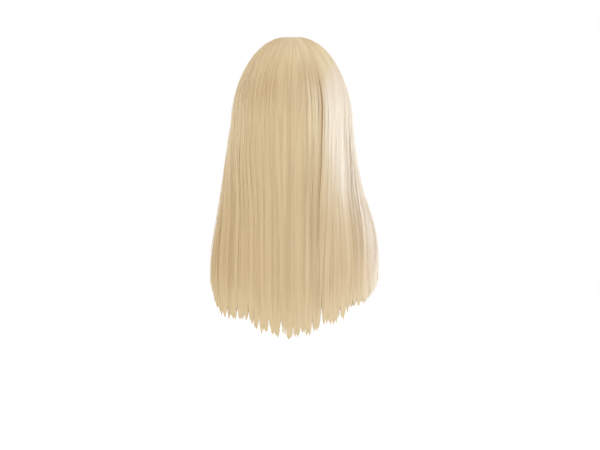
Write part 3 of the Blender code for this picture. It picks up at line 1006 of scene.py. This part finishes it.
def hair_material(settings):
    """Heat-set synthetic fibre, combed straight: smooth filaments side by side, so the shine
    runs in a broad band across them and stays narrow along them."""
    known = bpy.data.materials.get("synthetic_fibre")
    if known:
        return known
    material, tree = new_material("synthetic_fibre")
    place = add_node(tree, "ShaderNodeUVMap", {"uv_map": "Strand"}).outputs[0]
    # Streaks of a few fibres, 0.7 mm and 4 mm wide and many times as long
    fine = add_node(tree, "ShaderNodeMapping", {"vector_type": "POINT"}, _0=place, Scale=(1400.0, 9.0, 1.0))
    fine = add_node(tree, "ShaderNodeTexNoise", None, Vector=fine.outputs[0], Scale=1.0, Detail=3.0)
    broad = add_node(tree, "ShaderNodeMapping", {"vector_type": "POINT"}, _0=place, Scale=(250.0, 3.0, 1.0))
    broad = add_node(tree, "ShaderNodeTexNoise", None, Vector=broad.outputs[0], Scale=1.0, Detail=2.0)
    tone = add_node(tree, "ShaderNodeAttribute", {"attribute_name": "tone"}).outputs["Fac"]
    along = add_node(tree, "ShaderNodeAttribute", {"attribute_name": "along"}).outputs["Fac"]
    mixed = add_node(tree, "ShaderNodeMath", {"operation": "MULTIPLY_ADD"}, _0=fine.outputs[0], _1=0.3, _2=tone)
    mixed = add_node(tree, "ShaderNodeMath", {"operation": "MULTIPLY_ADD"}, _0=broad.outputs[0], _1=0.3, _2=mixed.outputs[0])
    ramp = add_node(tree, "ShaderNodeValToRGB", None, Fac=mixed.outputs[0])
    stops = ramp.color_ramp.elements
    stops[0].position, stops[0].color = 0.55, settings.shade
    stops[1].position, stops[1].color = 1.00, settings.light
    middle = stops.new(0.80)
    middle.color = settings.base
    # Painted light: the last stretch above the hem goes paler towards the tips
    tip_light_share = add_node(tree, "ShaderNodeMapRange", {"interpolation_type": "SMOOTHSTEP"}, Value=along, _1=1.82, _2=2.0, _3=0.0, _4=0.40)
    # Painted shade and painted halo along the hair: each strand's own tone moves the painted rings a
    # little, so their edges are ragged
    own = add_node(tree, "ShaderNodeMath", {"operation": "MULTIPLY"}, _0=tone, _1=0.4)
    place_along = add_node(tree, "ShaderNodeMath", {"operation": "MULTIPLY_ADD"}, _0=along, _1=0.35, _2=own.outputs[0])
    painted_shade_ramp = add_node(tree, "ShaderNodeValToRGB", None, Fac=place_along.outputs[0])
    painted_shade_ramp.color_ramp.interpolation = "B_SPLINE"
    stops = painted_shade_ramp.color_ramp.elements
    for number, (along_at, share) in enumerate(PAINTED_SHADE_AND_HALO):
        position = 0.2 + 0.35 * along_at
        stop = stops[number] if number < 2 else stops.new(position)
        stop.position = position
        stop.color = (share, share, share, 1.0)
    # Mixes the painted shade, with its unshaded ring as a painted halo, into the fibre's colour
    painted_shade = add_node(tree, "ShaderNodeMix", {"data_type": "RGBA"}, _0=painted_shade_ramp.outputs[0], _6=ramp.outputs[0], _7=settings.shade)
    colour = add_node(tree, "ShaderNodeMix", {"data_type": "RGBA"}, _0=tip_light_share.outputs[0], _6=painted_shade.outputs[2], _7=settings.painted_tip_light)
    bump = add_node(tree, "ShaderNodeBump", None, Strength=0.20, Distance=0.0002, Height=fine.outputs[0])
    tangent = add_node(tree, "ShaderNodeTangent", {"direction_type": "UV_MAP", "uv_map": "Strand"})
    shader = add_node(
        tree, "ShaderNodeBsdfPrincipled", None,
        Base_Color=colour.outputs[2], Roughness=0.42, IOR=1.70, Specular_IOR_Level=1.0, Anisotropic=0.65,
        Normal=bump.outputs[0], Tangent=tangent.outputs[0],
    )
    add_node(tree, "ShaderNodeOutputMaterial", None, Surface=shader.outputs[0])
    return material


def net_material(settings):
    """Knitted nylon net: matt thread round small open cells. A real cell is about 1 mm across,
    too fine to show, so these are coarser."""
    material, tree = new_material("knitted_net")
    place = add_node(tree, "ShaderNodeTexCoord").outputs["Object"]
    cells = add_node(tree, "ShaderNodeTexVoronoi", {"feature": "DISTANCE_TO_EDGE"}, Vector=place, Scale=1 / settings.mesh_size)
    thread = add_node(tree, "ShaderNodeMapRange", None, Value=cells.outputs[0], _1=0.05, _2=0.22, _3=1.0, _4=0.0)
    # Painted shade in the net's cells
    colour = add_node(tree, "ShaderNodeMix", {"data_type": "RGBA"}, _0=thread.outputs[0], _6=settings.recess_shade, _7=settings.net)
    bump = add_node(tree, "ShaderNodeBump", None, Strength=0.6, Distance=0.0004, Height=thread.outputs[0])
    shader = add_node(
        tree, "ShaderNodeBsdfPrincipled", None,
        Base_Color=colour.outputs[2], Roughness=0.85, Normal=bump.outputs[0],
    )
    add_node(tree, "ShaderNodeOutputMaterial", None, Surface=shader.outputs[0])
    return material


def weft_material(settings):
    """Folded fibre ends sewn under polyester thread: a matt strip, nipped in at each stitch."""
    material, tree = new_material("sewn_weft")
    place = add_node(tree, "ShaderNodeUVMap", {"uv_map": "Strip"})
    apart = add_node(tree, "ShaderNodeSeparateXYZ", None, Vector=place.outputs[0])
    turn = add_node(
        tree, "ShaderNodeMath", {"operation": "MULTIPLY"},
        _0=apart.outputs[0], _1=2 * math.pi / settings.stitch_length,
    )
    wave = add_node(tree, "ShaderNodeMath", {"operation": "SINE"}, _0=turn.outputs[0])
    stitch = add_node(
        tree, "ShaderNodeMapRange", {"interpolation_type": "SMOOTHSTEP"},
        Value=wave.outputs[0], _1=-0.9, _2=0.1, _3=0.0, _4=1.0,
    )
    # Painted shade in the nips between the stitches
    colour = add_node(
        tree, "ShaderNodeMix", {"data_type": "RGBA"},
        _0=stitch.outputs[0], _6=settings.recess_shade, _7=settings.weft,
    )
    bump = add_node(
        tree, "ShaderNodeBump", None, Strength=0.6, Distance=0.0006, Height=stitch.outputs[0],
    )
    shader = add_node(
        tree, "ShaderNodeBsdfPrincipled", None,
        Base_Color=colour.outputs[2], Roughness=0.8, Normal=bump.outputs[0],
    )
    add_node(tree, "ShaderNodeOutputMaterial", None, Surface=shader.outputs[0])
    return material


def elastic_material(settings):
    """Woven elastic: close ribs across the band, soft and matt."""
    material, tree = new_material("woven_elastic")
    place = add_node(tree, "ShaderNodeTexCoord").outputs["Object"]
    ribs = add_node(
        tree, "ShaderNodeTexWave", {"wave_type": "RINGS", "rings_direction": "SPHERICAL"},
        Vector=place, Scale=1 / settings.rib_spacing / 20, Distortion=0.0,
    )
    fuzz = add_node(tree, "ShaderNodeTexNoise", None, Vector=place, Scale=900.0, Detail=3.0)
    mixed = add_node(tree, "ShaderNodeMath", {"operation": "MULTIPLY_ADD"}, _0=fuzz.outputs[0], _1=0.5, _2=ribs.outputs[1])
    colour = add_node(tree, "ShaderNodeMix", {"data_type": "RGBA"}, _0=fuzz.outputs[0], _6=settings.elastic, _7=settings.thread)
    bump = add_node(tree, "ShaderNodeBump", None, Strength=0.5, Distance=0.0003, Height=mixed.outputs[0])
    shader = add_node(
        tree, "ShaderNodeBsdfPrincipled", None,
        Base_Color=colour.outputs[2], Roughness=0.75, Normal=bump.outputs[0],
    )
    add_node(tree, "ShaderNodeOutputMaterial", None, Surface=shader.outputs[0])
    return material


def paper_material():
    """Seamless background paper: matt and white."""
    material, tree = new_material("background_paper")
    shader = add_node(
        tree, "ShaderNodeBsdfPrincipled", None,
        Base_Color=(0.80, 0.80, 0.80, 1.0), Roughness=0.9, Emission_Color=(1.0, 1.0, 1.0, 1.0),
        Emission_Strength=0.30,
    )
    add_node(tree, "ShaderNodeOutputMaterial", None, Surface=shader.outputs[0])
    return material


class WIG_OT_stage(bpy.types.Operator):
    """Sets the camera, the soft lights and a pale floor under the wig."""

    bl_idname = "wig.stage"
    bl_label = "Stage"

    def execute(self, context):
        settings = context.scene.wig_stage
        self.set_camera(settings)
        self.set_paper(settings)
        middle = Vector((0.0, 0.03, -0.22))
        # Azimuth from the camera's side, towards the right of the picture
        self.set_light("key", settings.key_power, middle, 94.0, 12.0, 2.2, 2.2, 2.2, settings.key)
        self.set_light("edge", settings.edge_power, middle, 136.0, 12.0, 2.2, 1.2, 2.0, settings.key)
        self.set_light("top", settings.top_power, middle, 180.0, 82.0, 1.8, 1.1, 0.4, settings.key)
        self.set_light("fill", settings.fill_power, middle, 10.0, 40.0, 2.6, 1.0, 1.0, settings.plain)
        self.set_light("rim", settings.rim_power, middle, -120.0, 20.0, 2.2, 0.8, 1.6, settings.plain)
        self.set_sky(settings)
        context.scene.view_settings.view_transform = "Standard"
        return {"FINISHED"}

    def set_camera(self, settings):
        data = bpy.data.cameras.new("camera")
        data.sensor_width = 36.0
        data.lens = data.sensor_width * settings.camera_distance / settings.view_width
        data.dof.use_dof = False
        camera = bpy.data.objects.new("camera", data)
        camera.location = (-settings.view_shift, settings.camera_distance, -settings.view_height)
        camera.rotation_euler = (math.radians(90.0), 0.0, math.radians(180.0))
        bpy.context.scene.collection.objects.link(camera)
        bpy.context.scene.camera = camera

    def set_light(self, name, power, middle, azimuth, elevation, distance, width, height, colour):
        data = bpy.data.lights.new(name, "AREA")
        data.energy = power
        data.color = colour[:3]
        data.shape = "RECTANGLE"
        data.size = width
        data.size_y = height
        light = bpy.data.objects.new(name, data)
        toward = Vector(way(-azimuth, elevation))
        light.location = middle + toward * distance
        light.rotation_euler = toward.to_track_quat("Z", "Y").to_euler()
        bpy.context.scene.collection.objects.link(light)

    def set_paper(self, settings):
        shape = bmesh.new()
        bmesh.ops.create_circle(shape, cap_ends=True, segments=128, radius=8.0)
        bmesh.ops.translate(shape, vec=(0.0, 0.0, -settings.floor_drop), verts=shape.verts)
        mesh = bpy.data.meshes.new("background_paper")
        shape.to_mesh(mesh)
        shape.free()
        mesh.materials.append(paper_material())
        paper = bpy.data.objects.new("background_paper", mesh)
        bpy.context.scene.collection.objects.link(paper)

    def set_sky(self, settings):
        world = bpy.data.worlds.new("studio")
        world.use_nodes = True
        background = world.node_tree.nodes["Background"]
        background.inputs["Color"].default_value = (1.0, 1.0, 1.0, 1.0)
        background.inputs["Strength"].default_value = settings.sky
        bpy.context.scene.world = world


class WIG_PT_panel(bpy.types.Panel):
    """Lists the steps that dress the wig."""

    bl_idname = "WIG_PT_panel"
    bl_label = "Wig"
    bl_space_type = "VIEW_3D"
    bl_region_type = "UI"
    bl_category = "Wig"

    def draw(self, context):
        for step in STEPS:
            self.layout.operator(step.bl_idname)


STEPS = (WIG_OT_cap, WIG_OT_band, WIG_OT_wefts, WIG_OT_body, WIG_OT_locks, WIG_OT_strands, WIG_OT_stage)
SETTINGS = (WigHairSettings, WigCapSettings, WigStageSettings)


def register():
    for kind in SETTINGS + STEPS + (WIG_PT_panel,):
        bpy.utils.register_class(kind)
    bpy.types.Scene.wig_hair = PointerProperty(type=WigHairSettings)
    bpy.types.Scene.wig_cap = PointerProperty(type=WigCapSettings)
    bpy.types.Scene.wig_stage = PointerProperty(type=WigStageSettings)


def unregister():
    del bpy.types.Scene.wig_stage
    del bpy.types.Scene.wig_cap
    del bpy.types.Scene.wig_hair
    for kind in reversed(SETTINGS + STEPS + (WIG_PT_panel,)):
        bpy.utils.unregister_class(kind)


def main():
    register()
    bpy.ops.wig.cap()
    bpy.ops.wig.band()
    bpy.ops.wig.wefts()
    bpy.ops.wig.body()
    bpy.ops.wig.locks()
    bpy.ops.wig.strands()
    bpy.ops.wig.stage()


if __name__ == "__main__":
    main()
